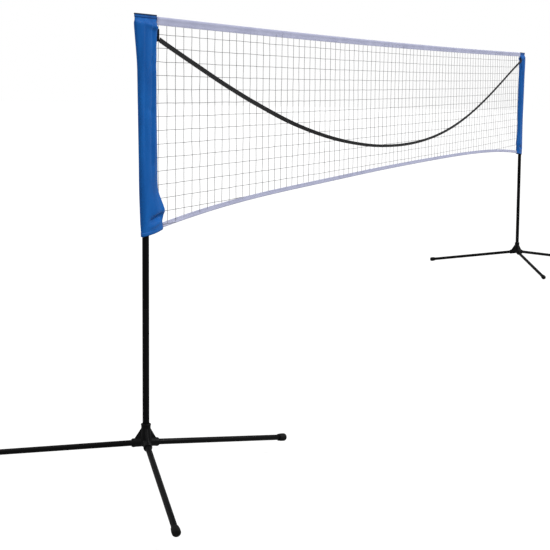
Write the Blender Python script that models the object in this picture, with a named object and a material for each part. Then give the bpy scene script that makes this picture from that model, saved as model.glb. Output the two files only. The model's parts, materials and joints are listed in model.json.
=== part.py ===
"""Portable badminton net: two sectional posts on plug-in tripods, a net between sleeves, a hanging strap.

Metres, +Z up, the net along X. The origin is on the floor, at the centre of the rectangle around the feet.
"""

import math

import bmesh
import bpy
from mathutils import Matrix, Vector

# Driving dimensions
SPAN = 5.72  # between the two posts' axes
HEIGHT = 1.55  # top of the sleeves above the floor
GAP = 0.0003  # clearance between pieces that touch
SIDES = 20  # facets around a tube

POST_RADIUS = 0.0115
TUBE_WALL = 0.001
POST_JOINTS = (0.570, 1.050)  # heights of the two seams between the post's sections
POST_TOP = 1.523
FERRULE_LENGTH = 0.090
POST_CAP_HEIGHT = 0.006

LEG_RADIUS = 0.0100
LEG_SLOPE = math.radians(8.7)  # how far a leg dips below the horizontal
LEG_START = 0.016  # inner end of a leg's tube, along its axis from the post's axis
LEG_END = 0.652
TRIPOD_TURN = {"left": math.radians(-24.0), "right": math.radians(-31.0)}  # direction of each first leg
LEG_COUNT = 3

FOOT_RADIUS = 0.0142
FOOT_LENGTH = 0.034
FOOT_END = 0.662
FOOT_FLAT = 0.0015  # depth of the flat that is worn on a foot's underside

SOCKET_RADIUS = 0.0144
SOCKET_REACH = 0.052
COLLAR_RADIUS = 0.0161
COLLAR_RISE = 0.064  # top of the collar above the point where the legs' axes meet
HUB_FLOOR = 0.0135  # underside of the hub below that point
GUSSET_THICKNESS = 0.010

SLEEVE_WALL = 0.0012
SLEEVE_BOTTOM = 0.815
SLEEVE_HALF_WIDTH = 0.057  # along its straight middle
SLEEVE_HALF_DEPTH = {"left": 0.018, "right": 0.0145}
SLEEVE_TOP_SPREAD = 0.019  # extra half width at the flat seam that closes the top
SLEEVE_FOOT_SPREAD = 0.015  # extra half width at the open foot
SLEEVE_SET = 0.0032  # the sleeve's middle at the top, inwards from the post's axis
SLEEVE_DRIFT = {"left": 0.0232, "right": 0.0150}  # how far the net pulls the sleeve inwards, top to foot
SLEEVE_FOOT_DRIFT = {"left": 0.020, "right": 0.013}  # how much further it pulls the foot
SLEEVE_FOOT_SHARE = 0.26  # share of the height that the flared foot takes
SLEEVE_TOP_SHARE = 0.74  # share of the height where the top starts to spread
SLEEVE_HEM_RISE = 0.016  # the inner bottom corner is this much higher than the outer one
SLEEVE_HEM_REACH = 0.13  # share of the sleeve's height over which that slant fades out
SLEEVE_RING = 22
SLEEVE_PINCH = 0.018  # height of the flat seam
SLEEVE_SEAM_LEVELS = (0.976, 0.988, 1.0)  # shares of the sleeve's height across that seam

NET_THICKNESS = 0.0008
NET_COLUMNS = 26
NET_CLEARANCE = 0.0024  # between the net's ends and the sleeves
TOP_TAPE_WIDTH = 0.028
TOP_TAPE_TOP = 1.545
TOP_TAPE_SAG = 0.011
TOP_TAPE_CLIMB = 0.004  # how much higher the top tape is at the right post
BOTTOM_TAPE_WIDTH = 0.018
BOTTOM_TAPE_LOW = 0.832
BOTTOM_TAPE_RISE = 0.060
BOTTOM_TAPE_BEND = 3.6  # the higher, the flatter the bow between its ends
BOTTOM_TAPE_DIP = (0.008, 0.27, 0.15)  # depth, place and reach of a slight dip in that bow
TOP_CORD_RADIUS = 0.0014

STRAP_RADIUS = 0.0088
STRAP_POINTS = 80
STRAP_TAB = (0.005, 0.0075, 0.042)
STRAP_TAB_CENTRE = (-0.00525, 1.483)  # y from the net's plane, and z
# Route of the hanging strap: x from the left post's axis, y from the net's plane, z above the floor
STRAP_ROUTE = (
    (0.0890, -0.0105, 1.4655),
    (0.1800, -0.0112, 1.4382),
    (0.3500, -0.0123, 1.3892),
    (0.6000, -0.0138, 1.3184),
    (0.9000, -0.0153, 1.2415),
    (1.3000, -0.0170, 1.1525),
    (1.7500, -0.0185, 1.0793),
    (2.2000, -0.0195, 1.0318),
    (2.6000, -0.0199, 1.0107),
    (3.0000, -0.0200, 1.0097),
    (3.4000, -0.0196, 1.0300),
    (3.8000, -0.0188, 1.0740),
    (4.2000, -0.0177, 1.1415),
    (4.6000, -0.0163, 1.2288),
    (5.0000, -0.0144, 1.3285),
    (5.3500, -0.0124, 1.4198),
    (5.6315, -0.0105, 1.4880),
)
STRAP_TAB_LIFT = {"left": 0.0, "right": 0.010}  # the right end is tied a little higher

FOOT_LOW_STATION = FOOT_END - 0.004
HUB_HEIGHT = FOOT_LOW_STATION * math.sin(LEG_SLOPE) + FOOT_RADIUS * math.cos(LEG_SLOPE) - FOOT_FLAT


def leg_directions(side):
    """Unit vectors along the three legs of a tripod, outwards and down."""
    flat = math.cos(LEG_SLOPE)
    turns = [TRIPOD_TURN[side] + 2 * math.pi * k / LEG_COUNT for k in range(LEG_COUNT)]
    return [Vector((flat * math.cos(t), flat * math.sin(t), -math.sin(LEG_SLOPE))) for t in turns]


def net_corner():
    """The left post's place on the floor, which puts the feet's rectangle around the origin."""
    feet = [d * FOOT_END for d in leg_directions("left")]
    feet += [d * FOOT_END + Vector((SPAN, 0, 0)) for d in leg_directions("right")]
    xs = [f.x for f in feet]
    ys = [f.y for f in feet]
    return Vector((-(min(xs) + max(xs)) / 2, -(min(ys) + max(ys)) / 2, 0))


CORNER = net_corner()
POST_X = {"left": 0.0, "right": SPAN}
INWARD = {"left": 1.0, "right": -1.0}


def material(name, colour, roughness, metallic=0.0):
    made = bpy.data.materials.new(name)
    made.use_nodes = True
    shader = made.node_tree.nodes["Principled BSDF"]
    shader.inputs["Base Color"].default_value = (*colour, 1.0)
    shader.inputs["Roughness"].default_value = roughness
    shader.inputs["Metallic"].default_value = metallic
    return made


def add_object(name, shape, surface, parent=None, location=(0, 0, 0), rotation=(0, 0, 0), smooth=True):
    """Turns a bmesh into a named object with outward faces."""
    bmesh.ops.recalc_face_normals(shape, faces=shape.faces[:])
    mesh = bpy.data.meshes.new(name)
    shape.to_mesh(mesh)
    shape.free()
    if smooth:
        mesh.shade_smooth()
        mesh.set_sharp_from_angle(angle=math.radians(40))
    mesh.materials.append(surface)
    made = bpy.data.objects.new(name, mesh)
    made.location = location
    made.rotation_euler = rotation
    made.parent = parent
    bpy.context.collection.objects.link(made)
    return made


def axis_empty(name, location, parent=None, rotation=(0, 0, 0)):
    made = bpy.data.objects.new(name, None)
    made.empty_display_size = 0.05
    made.location = location
    made.rotation_euler = rotation
    made.parent = parent
    bpy.context.collection.objects.link(made)
    return made


def turned(profile, sides=SIDES, closed=False):
    """A solid of revolution about Z. An open profile runs from axis to axis, a closed one makes a ring."""
    shape = bmesh.new()
    rings = []
    for radius, z in profile:
        if radius == 0:
            rings.append([shape.verts.new((0, 0, z))] * sides)
            continue
        turns = [2 * math.pi * k / sides for k in range(sides)]
        rings.append([shape.verts.new((radius * math.cos(t), radius * math.sin(t), z)) for t in turns])
    pairs = list(zip(rings, rings[1:]))
    if closed:
        pairs.append((rings[-1], rings[0]))
    for lower, upper in pairs:
        for k in range(sides):
            corners = [lower[k], lower[(k + 1) % sides], upper[(k + 1) % sides], upper[k]]
            shape.faces.new(dict.fromkeys(corners))
    return shape


def tube_shape(radius, wall, low, high):
    inside = radius - wall
    return turned([(radius, low), (radius, high), (inside, high), (inside, low)], closed=True)


def loft(rings, capped=True):
    """Skins a list of closed rings of points and closes the two ends."""
    shape = bmesh.new()
    rows = [[shape.verts.new(p) for p in ring] for ring in rings]
    count = len(rows[0])
    for lower, upper in zip(rows, rows[1:]):
        for k in range(count):
            shape.faces.new([lower[k], lower[(k + 1) % count], upper[(k + 1) % count], upper[k]])
    if capped:
        shape.faces.new(rows[0])
        shape.faces.new(rows[-1])
    return shape


def box_shape(size, centre):
    shape = bmesh.new()
    bmesh.ops.create_cube(shape, size=1.0)
    bmesh.ops.scale(shape, vec=size, verts=shape.verts)
    bmesh.ops.translate(shape, vec=centre, verts=shape.verts)
    return shape


def boolean(target, tool, operation):
    """Joins or cuts the target with a hidden tool object."""
    tool.hide_render = True
    tool.display_type = "WIRE"
    step = target.modifiers.new(tool.name, "BOOLEAN")
    step.operation = operation
    step.object = tool
    step.solver = "EXACT"


def smooth_route(points, count):
    """Evenly spread points on a Catmull-Rom curve through the given ones."""
    knots = [Vector(p) for p in points]
    knots = [2 * knots[0] - knots[1]] + knots + [2 * knots[-1] - knots[-2]]
    fine = []
    for a, b, c, d in zip(knots, knots[1:], knots[2:], knots[3:]):
        for k in range(24):
            t = k / 24
            bend = (2 * a - 5 * b + 4 * c - d) * t**2 + (3 * b - a - 3 * c + d) * t**3
            fine.append(0.5 * (2 * b + (c - a) * t + bend))
    fine.append(knots[-2])
    travelled = [0.0]
    for a, b in zip(fine, fine[1:]):
        travelled.append(travelled[-1] + (b - a).length)
    spread = []
    place = 0
    for k in range(count):
        goal = travelled[-1] * k / (count - 1)
        while place < len(fine) - 2 and travelled[place + 1] < goal:
            place += 1
        share = (goal - travelled[place]) / (travelled[place + 1] - travelled[place])
        spread.append(fine[place].lerp(fine[place + 1], min(1.0, share)))
    return spread


# The posts


def build_post(side, root, paint, plastic):
    """Three plain sections end to end, two ferrules inside them, and a plug in the open top."""
    bottom = HUB_HEIGHT - HUB_FLOOR + 0.003 + GAP
    ends = (bottom, *POST_JOINTS, POST_TOP)
    lower_axis = axis_empty(f"{side}_lower_post_axis", (0, 0, POST_JOINTS[0]), root)
    for name, low, high in zip(("lower", "middle", "upper"), ends, ends[1:]):
        parent = lower_axis if name == "lower" else root
        drop = POST_JOINTS[0] if name == "lower" else 0.0
        shape = tube_shape(POST_RADIUS, TUBE_WALL, low - drop + GAP / 2, high - drop - GAP / 2)
        add_object(f"{side}_{name}_tube", shape, paint, parent)
    ferrule_radius = POST_RADIUS - TUBE_WALL - GAP
    for name, height in zip(("lower", "upper"), POST_JOINTS):
        low, high = height - FERRULE_LENGTH / 2, height + FERRULE_LENGTH / 2
        add_object(f"{side}_{name}_ferrule", tube_shape(ferrule_radius, TUBE_WALL, low, high), paint, root)
    plug = [
        (0, POST_TOP - 0.016),
        (ferrule_radius, POST_TOP - 0.016),
        (ferrule_radius, POST_TOP + GAP),
        (POST_RADIUS, POST_TOP + GAP),
        (POST_RADIUS, POST_TOP + POST_CAP_HEIGHT * 0.5),
        (POST_RADIUS * 0.7, POST_TOP + POST_CAP_HEIGHT),
        (0, POST_TOP + POST_CAP_HEIGHT),
    ]
    add_object(f"{side}_post_cap", turned(plug), plastic, root)


# The tripods


def hub_body():
    """Collar and body around the post, without its bores."""
    top = COLLAR_RISE
    return [
        (0, -HUB_FLOOR),
        (0.0155, -HUB_FLOOR),
        (0.0180, -HUB_FLOOR + 0.0025),
        (0.0186, 0.012),
        (COLLAR_RADIUS, 0.040),
        (COLLAR_RADIUS, top - 0.006),
        (COLLAR_RADIUS + 0.001, top - 0.005),
        (COLLAR_RADIUS + 0.001, top - 0.001),
        (COLLAR_RADIUS, top),
        (0, top),
    ]


def gusset_shape():
    """A sloping web from the collar down to the top of a socket, in the XZ plane."""
    outline = [
        (0.006, 0.002),
        (0.046, -0.004),
        (0.046, 0.0070),
        (0.040, 0.0105),
        (0.016, 0.0475),
        (0.006, 0.0475),
    ]
    half = GUSSET_THICKNESS / 2
    return loft([[(x, y, z) for x, z in outline] for y in (-half, half)])


def build_hub(side, parent, plastic):
    """One moulding: a collar, three sockets and three webs, bored for the post and the legs."""
    hub = add_object(f"{side}_hub", turned(hub_body(), 24), plastic, parent)
    mouth = SOCKET_REACH
    socket = [
        (0, 0.004),
        (SOCKET_RADIUS, 0.004),
        (SOCKET_RADIUS, mouth - 0.009),
        (SOCKET_RADIUS + 0.0012, mouth - 0.008),
        (SOCKET_RADIUS + 0.0012, mouth - 0.003),
        (SOCKET_RADIUS - 0.002, mouth),
        (0, mouth),
    ]
    bore = [(0, LEG_START - GAP), (LEG_RADIUS + GAP, LEG_START - GAP), (LEG_RADIUS + GAP, 0.1), (0, 0.1)]
    for k in range(LEG_COUNT):
        turn = TRIPOD_TURN[side] + 2 * math.pi * k / LEG_COUNT
        lean = (0, math.pi / 2 + LEG_SLOPE, turn)
        sleeve = add_object(f"{side}_socket_{k + 1}_form", turned(socket), plastic, parent, rotation=lean)
        web = add_object(f"{side}_web_{k + 1}_form", gusset_shape(), plastic, parent, rotation=(0, 0, turn))
        boolean(hub, sleeve, "UNION")
        boolean(hub, web, "UNION")
    for k in range(LEG_COUNT):
        turn = TRIPOD_TURN[side] + 2 * math.pi * k / LEG_COUNT
        lean = (0, math.pi / 2 + LEG_SLOPE, turn)
        cut = add_object(f"{side}_leg_{k + 1}_cutter", turned(bore), plastic, parent, rotation=lean)
        boolean(hub, cut, "DIFFERENCE")
    floor = -HUB_FLOOR + 0.003
    well = [(0, floor), (POST_RADIUS + GAP, floor), (POST_RADIUS + GAP, 0.1), (0, 0.1)]
    cut = add_object(f"{side}_post_cutter", turned(well), plastic, parent)
    boolean(hub, cut, "DIFFERENCE")


def foot_shape(world):
    """A soft barrel-shaped cap over a leg's end, cut flat where it stands on the floor."""
    start = FOOT_END - FOOT_LENGTH
    inside = LEG_RADIUS + GAP
    shape = turned(
        [
            (0, LEG_END + GAP),
            (inside, LEG_END + GAP),
            (inside, start),
            (FOOT_RADIUS - 0.0030, start),
            (FOOT_RADIUS - 0.0012, start + 0.0020),
            (FOOT_RADIUS, start + 0.0120),
            (FOOT_RADIUS, FOOT_LOW_STATION - 0.0015),
            (FOOT_RADIUS - 0.0007, FOOT_LOW_STATION + 0.0012),
            (FOOT_RADIUS - 0.0035, FOOT_END - 0.0006),
            (FOOT_RADIUS - 0.0060, FOOT_END),
            (0, FOOT_END),
        ],
        18,
    )
    to_local = world.inverted()
    point = to_local @ Vector((0, 0, 0))
    normal = (to_local.to_3x3() @ Vector((0, 0, -1))).normalized()
    everything = shape.verts[:] + shape.edges[:] + shape.faces[:]
    cut = bmesh.ops.bisect_plane(shape, geom=everything, plane_co=point, plane_no=normal, clear_outer=True)
    rim = [e for e in cut["geom_cut"] if isinstance(e, bmesh.types.BMEdge)]
    bmesh.ops.edgeloop_fill(shape, edges=rim)
    return shape


def build_legs(side, parent, paint, rubber):
    place = CORNER + Vector((POST_X[side], 0, HUB_HEIGHT))
    for k in range(LEG_COUNT):
        turn = TRIPOD_TURN[side] + 2 * math.pi * k / LEG_COUNT
        lean = (0, math.pi / 2 + LEG_SLOPE, turn)
        axis = axis_empty(f"{side}_leg_{k + 1}_axis", (0, 0, 0), parent, lean)
        tube = tube_shape(LEG_RADIUS, TUBE_WALL, LEG_START, LEG_END)
        add_object(f"{side}_leg_{k + 1}_tube", tube, paint, axis)
        tilt = Matrix.Rotation(turn, 4, "Z") @ Matrix.Rotation(lean[1], 4, "Y")
        world = Matrix.Translation(place) @ tilt
        add_object(f"{side}_leg_{k + 1}_foot", foot_shape(world), rubber, axis)


# The net


def ease(x, low, high):
    """Smooth step from 0 at low to 1 at high."""
    t = min(1.0, max(0.0, (x - low) / (high - low)))
    return t * t * (3 - 2 * t)


def sleeve_levels():
    """Shares of a sleeve's height, closer together in its flared foot and its spread top."""
    foot, top = SLEEVE_FOOT_SHARE, SLEEVE_TOP_SHARE
    levels = []
    for low, high, steps in ((0, foot, 6), (foot, top, 4), (top, 1, 5)):
        levels += [low + (high - low) * k / steps for k in range(steps)]
    return levels + list(SLEEVE_SEAM_LEVELS)


SLEEVE_LEVELS = sleeve_levels()


def sleeve_half_width(share):
    foot = SLEEVE_FOOT_SPREAD * (1 - ease(share, 0, SLEEVE_FOOT_SHARE))
    return SLEEVE_HALF_WIDTH + foot + SLEEVE_TOP_SPREAD * ease(share, SLEEVE_TOP_SHARE, 1)


def sleeve_middle(side, share):
    """How far a sleeve's middle is inwards from its post's axis."""
    foot = SLEEVE_FOOT_DRIFT[side] * (1 - ease(share, 0, SLEEVE_FOOT_SHARE))
    return SLEEVE_SET + SLEEVE_DRIFT[side] * (1 - share) + foot


def sleeve_ring(side, share, inset):
    """One level of a sleeve's pocket, inset from its outer face. share is 0 at the foot and 1 at the top."""
    top = HEIGHT - inset
    z = SLEEVE_BOTTOM + (top - SLEEVE_BOTTOM) * share
    pinch = min(1.0, (HEIGHT - z) / SLEEVE_PINCH)
    depth = 0.003 + (SLEEVE_HALF_DEPTH[side] - 0.003) * math.sin(pinch * math.pi / 2)
    if inset:
        depth = max(depth - inset, 0.001)
    width = sleeve_half_width(share) - inset
    ring = []
    for k in range(SLEEVE_RING):
        turn = 2 * math.pi * k / SLEEVE_RING
        x = width * math.cos(turn)
        rise = SLEEVE_HEM_RISE * (x / width + 1) / 2 * max(0.0, 1 - share / SLEEVE_HEM_REACH)
        y = depth * math.sin(turn)
        ring.append(Vector((INWARD[side] * (x + sleeve_middle(side, share)), y, z + rise)))
    return ring


def build_sleeve(side, parent, cloth):
    """A flat pocket of cloth around the post, closed at the top and open at the foot."""
    outer = [sleeve_ring(side, s, 0.0) for s in SLEEVE_LEVELS]
    inner = [sleeve_ring(side, s, SLEEVE_WALL) for s in SLEEVE_LEVELS]
    add_object(f"{side}_sleeve", loft(outer[::-1] + inner), cloth, parent)


def sleeve_edge(side, z):
    """How far the sleeve's inner edge is from its post's axis at a height."""
    tall = HEIGHT - SLEEVE_BOTTOM
    share = (z - SLEEVE_BOTTOM) / tall
    if share < SLEEVE_HEM_REACH:
        share = (z - SLEEVE_BOTTOM - SLEEVE_HEM_RISE) / (tall - SLEEVE_HEM_RISE / SLEEVE_HEM_REACH)
    return sleeve_middle(side, share) + sleeve_half_width(share)


def net_x(share, z):
    """x at a share of the way along the net, between the two sleeves' inner edges."""
    left = sleeve_edge("left", z) + NET_CLEARANCE
    right = SPAN - sleeve_edge("right", z) - NET_CLEARANCE
    return left + (right - left) * share


def top_line(share):
    return TOP_TAPE_TOP + TOP_TAPE_CLIMB * share - TOP_TAPE_SAG * 4 * share * (1 - share)


def bottom_line(share):
    depth, place, reach = BOTTOM_TAPE_DIP
    bow = BOTTOM_TAPE_RISE * (1 - abs(2 * share - 1) ** BOTTOM_TAPE_BEND)
    return BOTTOM_TAPE_LOW + bow - depth * math.exp(-(((share - place) / reach) ** 2))


def strip(profile, line):
    """Runs a closed (y, z) profile along the net, on a line that gives its height."""
    rings = []
    for k in range(NET_COLUMNS + 1):
        share = k / NET_COLUMNS
        base = line(share)
        rings.append([Vector((net_x(share, base + z), y, base + z)) for y, z in profile])
    return loft(rings)


def folded_tape(width, wall, bead, sign):
    """Profile of a tape folded over the net's edge, round a bead. It hangs down for sign -1."""
    half = NET_THICKNESS / 2 + GAP
    outside = [(half + wall, width), (bead + wall, width * 0.25), (bead * 0.7 + wall, 0.0009), (0, 0)]
    inside = [(half, width), (bead, width * 0.25 + wall), (bead * 0.7, wall + 0.0009), (0, wall)]
    section = [(y, z) for y, z in outside] + [(-y, z) for y, z in outside[-2::-1]]
    section += [(-y, z) for y, z in inside] + [(y, z) for y, z in inside[-2::-1]]
    return [(y, sign * z) for y, z in section]


def build_net(parent, mesh_cloth, tape_cloth, cord_surface):
    """The netting between its two tapes, and the cord that carries the top tape."""
    margin = 0.007
    rings = []
    half = NET_THICKNESS / 2
    for k in range(NET_COLUMNS + 1):
        share = k / NET_COLUMNS
        high = top_line(share) - margin
        low = bottom_line(share) + margin
        heights = [low + (high - low) * level for level in SLEEVE_LEVELS]
        outline = [(half, z) for z in heights] + [(-half, z) for z in heights[::-1]]
        rings.append([Vector((net_x(share, z), y, z)) for y, z in outline])
    add_object("net_panel", loft(rings), mesh_cloth, parent, smooth=False)
    top = folded_tape(TOP_TAPE_WIDTH, 0.0008, 0.0022, -1)
    add_object("top_tape", strip(top, top_line), tape_cloth, parent)
    bottom = folded_tape(BOTTOM_TAPE_WIDTH, 0.0008, 0.0012, 1)
    add_object("bottom_tape", strip(bottom, bottom_line), tape_cloth, parent)
    turns = [2 * math.pi * k / 8 for k in range(8)]
    cord = [(TOP_CORD_RADIUS * math.cos(t), TOP_CORD_RADIUS * math.sin(t) - 0.0038) for t in turns]
    add_object("top_cord", strip(cord, top_line), cord_surface, parent)


def build_strap(parent, webbing):
    """The slack strap between the posts, and the tab that each end is sewn to."""
    points = smooth_route(STRAP_ROUTE, STRAP_POINTS)
    curve = bpy.data.curves.new("hanging_strap", "CURVE")
    curve.dimensions = "3D"
    curve.bevel_depth = STRAP_RADIUS
    curve.bevel_resolution = 2
    curve.use_fill_caps = True
    spline = curve.splines.new("POLY")
    spline.points.add(len(points) - 1)
    for place, point in zip(spline.points, points):
        place.co = (*point, 1.0)
    curve.materials.append(webbing)
    strap = bpy.data.objects.new("hanging_strap", curve)
    strap.parent = parent
    bpy.context.collection.objects.link(strap)
    y, z = STRAP_TAB_CENTRE
    for side in ("left", "right"):
        height = z + STRAP_TAB_LIFT[side]
        ends = [sleeve_edge(side, height + STRAP_TAB[2] * k / 2) for k in (-1, 1)]
        reach = max(ends) + GAP + STRAP_TAB[0] / 2
        centre = (POST_X[side] + INWARD[side] * reach, y, height)
        add_object(f"{side}_strap_tab", box_shape(STRAP_TAB, centre), webbing, parent, smooth=False)


def build():
    for old in list(bpy.data.objects):
        bpy.data.objects.remove(old, do_unlink=True)
    black_paint = material("black_powder_coat", (0.012, 0.012, 0.013), 0.38, 0.3)
    black_plastic = material("black_hub_plastic", (0.010, 0.010, 0.011), 0.5)
    black_rubber = material("black_foot_rubber", (0.014, 0.014, 0.015), 0.7)
    blue_cloth = material("blue_sleeve_cloth", (0.013, 0.105, 0.39), 0.55)
    netting = material("grey_netting", (0.08, 0.08, 0.085), 0.8)
    pale_tape = material("pale_tape", (0.39, 0.39, 0.55), 0.8)
    white_cord = material("white_cord", (0.6, 0.6, 0.6), 0.8)
    webbing = material("black_webbing", (0.011, 0.011, 0.013), 0.75)

    whole = axis_empty("net_frame", CORNER)
    for side in ("left", "right"):
        post = axis_empty(f"{side}_post_axis", (POST_X[side], 0, 0), whole)
        build_post(side, post, black_paint, black_plastic)
        build_sleeve(side, post, blue_cloth)
        hub_axis = axis_empty(f"{side}_hub_axis", (0, 0, HUB_HEIGHT), post)
        build_hub(side, hub_axis, black_plastic)
        build_legs(side, hub_axis, black_paint, black_rubber)
    build_net(whole, netting, pale_tape, white_cord)
    build_strap(whole, webbing)


build()
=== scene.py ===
"""Visual model of the portable badminton net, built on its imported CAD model."""

import json
import math
import random

import bmesh
import bpy
from mathutils import Matrix, Vector, noise


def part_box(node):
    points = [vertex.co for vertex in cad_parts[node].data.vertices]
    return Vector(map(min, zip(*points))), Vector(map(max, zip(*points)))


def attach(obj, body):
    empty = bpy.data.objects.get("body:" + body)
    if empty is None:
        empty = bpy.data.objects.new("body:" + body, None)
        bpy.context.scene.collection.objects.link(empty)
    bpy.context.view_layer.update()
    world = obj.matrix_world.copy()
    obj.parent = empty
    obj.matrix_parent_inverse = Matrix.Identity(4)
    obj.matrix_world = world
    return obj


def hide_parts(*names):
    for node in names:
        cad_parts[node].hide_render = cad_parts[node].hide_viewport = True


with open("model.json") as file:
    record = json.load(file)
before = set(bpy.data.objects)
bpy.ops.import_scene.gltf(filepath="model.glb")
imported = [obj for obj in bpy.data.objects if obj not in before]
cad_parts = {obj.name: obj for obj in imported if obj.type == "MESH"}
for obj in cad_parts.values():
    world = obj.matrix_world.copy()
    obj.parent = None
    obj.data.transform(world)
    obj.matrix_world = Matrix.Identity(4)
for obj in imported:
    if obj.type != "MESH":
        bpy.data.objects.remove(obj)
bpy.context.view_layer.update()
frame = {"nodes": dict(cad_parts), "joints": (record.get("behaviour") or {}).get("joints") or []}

TAU = 2 * math.pi
SIDES = ("left", "right")
ROOT = "net_and_posts"
UP = Vector((0, 0, 1))
HANDS = random.Random(11)  # small irregularities of hand-made pieces

# Places, all read from the frame


def middle(node):
    low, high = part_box(node)
    return (low + high) / 2


POST = {side: Vector((*middle(f"{side}_middle_tube").xy, 0)) for side in SIDES}
ORIGIN = POST["left"]  # the strap's route and the camera are measured from here
SPAN = POST["right"].x - ORIGIN.x
INWARD = {"left": 1, "right": -1}
JOINTS = {joint["name"]: joint for joint in frame["joints"]}
HUB_CENTRE = {side: Vector(JOINTS[f"{side}_hub_swivel"]["pos_m"]) for side in SIDES}
LEGS = {
    (side, k): Vector(JOINTS[f"{side}_leg_{k}_pull_out"]["axis"]).normalized()
    for side in SIDES
    for k in (1, 2, 3)
}
SLEEVE_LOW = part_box("left_sleeve")[0].z
SLEEVE_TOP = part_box("left_sleeve")[1].z


def extent(node, origin, axis):
    """Where a node starts and ends along an axis, and its greatest distance from it."""
    offsets = [v.co - origin for v in frame["nodes"][node].data.vertices]
    along = [p.dot(axis) for p in offsets]
    radius = max((p - axis * a).length for p, a in zip(offsets, along))
    return min(along), max(along), radius


# Mesh helpers


def link(name, data):
    """A new object in the scene."""
    made = bpy.data.objects.new(name, data)
    bpy.context.scene.collection.objects.link(made)
    return made


def mesh_object(name, verts, faces):
    mesh = bpy.data.meshes.new(name)
    mesh.from_pydata([tuple(v) for v in verts], [], faces)
    return link(name, mesh)


def outward(piece):
    """Turns the faces of a closed piece outwards."""
    shape = bmesh.new()
    shape.from_mesh(piece.data)
    bmesh.ops.recalc_face_normals(shape, faces=shape.faces)
    shape.to_mesh(piece.data)
    shape.free()
    return piece


def dress(piece, surface, replaced, body, crease=None):
    """Gives a piece its material and body. crease is the sharpest angle shaded smooth."""
    mesh = piece.data
    mesh.materials.clear()
    mesh.materials.append(surface)
    mesh.polygons.foreach_set("use_smooth", [True] * len(mesh.polygons))
    if crease:
        mesh.set_sharp_from_angle(angle=math.radians(crease))
    mesh.update()
    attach(piece, body)
    if replaced:
        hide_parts(*replaced)


def add_piece(name, verts, faces, surface, slot, replaced=(), uvs=None, crease=None, body=ROOT):
    """A smooth-shaded mesh piece that rides on a body and stands for the replaced CAD nodes."""
    piece = mesh_object(name, verts, faces)
    if uvs:
        layer = piece.data.uv_layers.new(name="weave")
        for loop, uv in zip(layer.data, uvs):
            loop.uv = uv
    dress(piece, surface, replaced, body, crease)
    return outward(piece)


def add_loft(name, rings, surface, slot, node, crease=None):
    """A piece lofted through rings, which stands for one CAD node."""
    verts, faces, uvs = loft(rings)
    return add_piece(name, verts, faces, surface, slot, (node,), uvs, crease)


def full_turn(count):
    """Cosine and sine at even steps round a full turn."""
    return [(math.cos(TAU * k / count), math.sin(TAU * k / count)) for k in range(count)]


def quarter_turn(count):
    """Cosine and sine at even steps of a quarter turn, with both its ends."""
    turns = [math.pi / 2 * k / count for k in range(count + 1)]
    return [(math.cos(turn), math.sin(turn)) for turn in turns]


def loft(rings, caps=True):
    """Vertices, faces and cloth coordinates, in metres, through closed rings of points."""
    count = len(rings[0])
    verts = [p for ring in rings for p in ring]
    faces, uvs = [], []
    key = rings[len(rings) // 2]
    around = path_lengths([*key, key[0]])
    along = [0.0]
    for a, b in zip(rings, rings[1:]):
        along.append(along[-1] + sum((q - p).length for p, q in zip(a, b)) / count)
    for i in range(len(rings) - 1):
        for j in range(count):
            k = (j + 1) % count
            faces.append((i * count + j, i * count + k, (i + 1) * count + k, (i + 1) * count + j))
            uvs += [(around[j], along[i]), (around[j + 1], along[i])]
            uvs += [(around[j + 1], along[i + 1]), (around[j], along[i + 1])]
    if caps:
        last = (len(rings) - 1) * count
        first_cap, last_cap = range(count - 1, -1, -1), range(last, last + count)
        for ends, v in ((first_cap, along[0]), (last_cap, along[-1])):
            faces.append(tuple(ends))
            uvs += [(around[k % count], v) for k in ends]
    return verts, faces, uvs


def join(verts, faces, form_verts, form_faces):
    """Adds a form's vertices and faces to a growing piece."""
    faces += [tuple(len(verts) + n for n in face) for face in form_faces]
    verts += form_verts


ON_AXIS = 1e-7  # a profile point nearer to the axis than this is a pole


def lathe(profile, sides, place):
    """Vertices and faces of a closed (radius, height) profile turned round the Z axis of place."""
    verts, rows = [], []
    for radius, height in profile:
        if radius < ON_AXIS:
            rows.append([len(verts)])
            verts.append(place @ Vector((0, 0, height)))
            continue
        rows.append(list(range(len(verts), len(verts) + sides)))
        for across, front in full_turn(sides):
            verts.append(place @ Vector((radius * across, radius * front, height)))
    pairs = list(zip(rows, rows[1:]))
    if len(rows[0]) > 1:
        pairs.append((rows[-1], rows[0]))
    faces = []
    for a, b in pairs:
        for k in range(sides):
            n = (k + 1) % sides
            if len(a) > 1 and len(b) > 1:
                faces.append((a[k], a[n], b[n], b[k]))
            elif len(b) > 1:
                faces.append((a[0], b[n], b[k]))
            elif len(a) > 1:
                faces.append((a[k], a[n], b[0]))
    return verts, faces


def aim(origin, axis):
    """Placement with its Z axis along a direction."""
    return Matrix.Translation(origin) @ axis.to_track_quat("Z", "Y").to_matrix().to_4x4()


def path_lengths(points):
    """How far along a path each of its points is."""
    travelled = [0.0]
    for a, b in zip(points, points[1:]):
        travelled.append(travelled[-1] + (b - a).length)
    return travelled


def find_along(points, goals):
    """For rising distances along a path, the point before and the share of the way to the next."""
    travelled = path_lengths(points)
    place = 0
    for goal in goals:
        while place < len(points) - 2 and travelled[place + 1] < goal:
            place += 1
        gap = max(1e-9, travelled[place + 1] - travelled[place])
        yield place, (goal - travelled[place]) / gap


def headings(points):
    """Direction of a path at each of its points."""
    after, before = [*points[1:], points[-1]], [points[0], *points[:-1]]
    return [(b - a).normalized() for a, b in zip(before, after)]


CURVE_STEPS = 40  # fine steps of a curve between two of its knots


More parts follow.
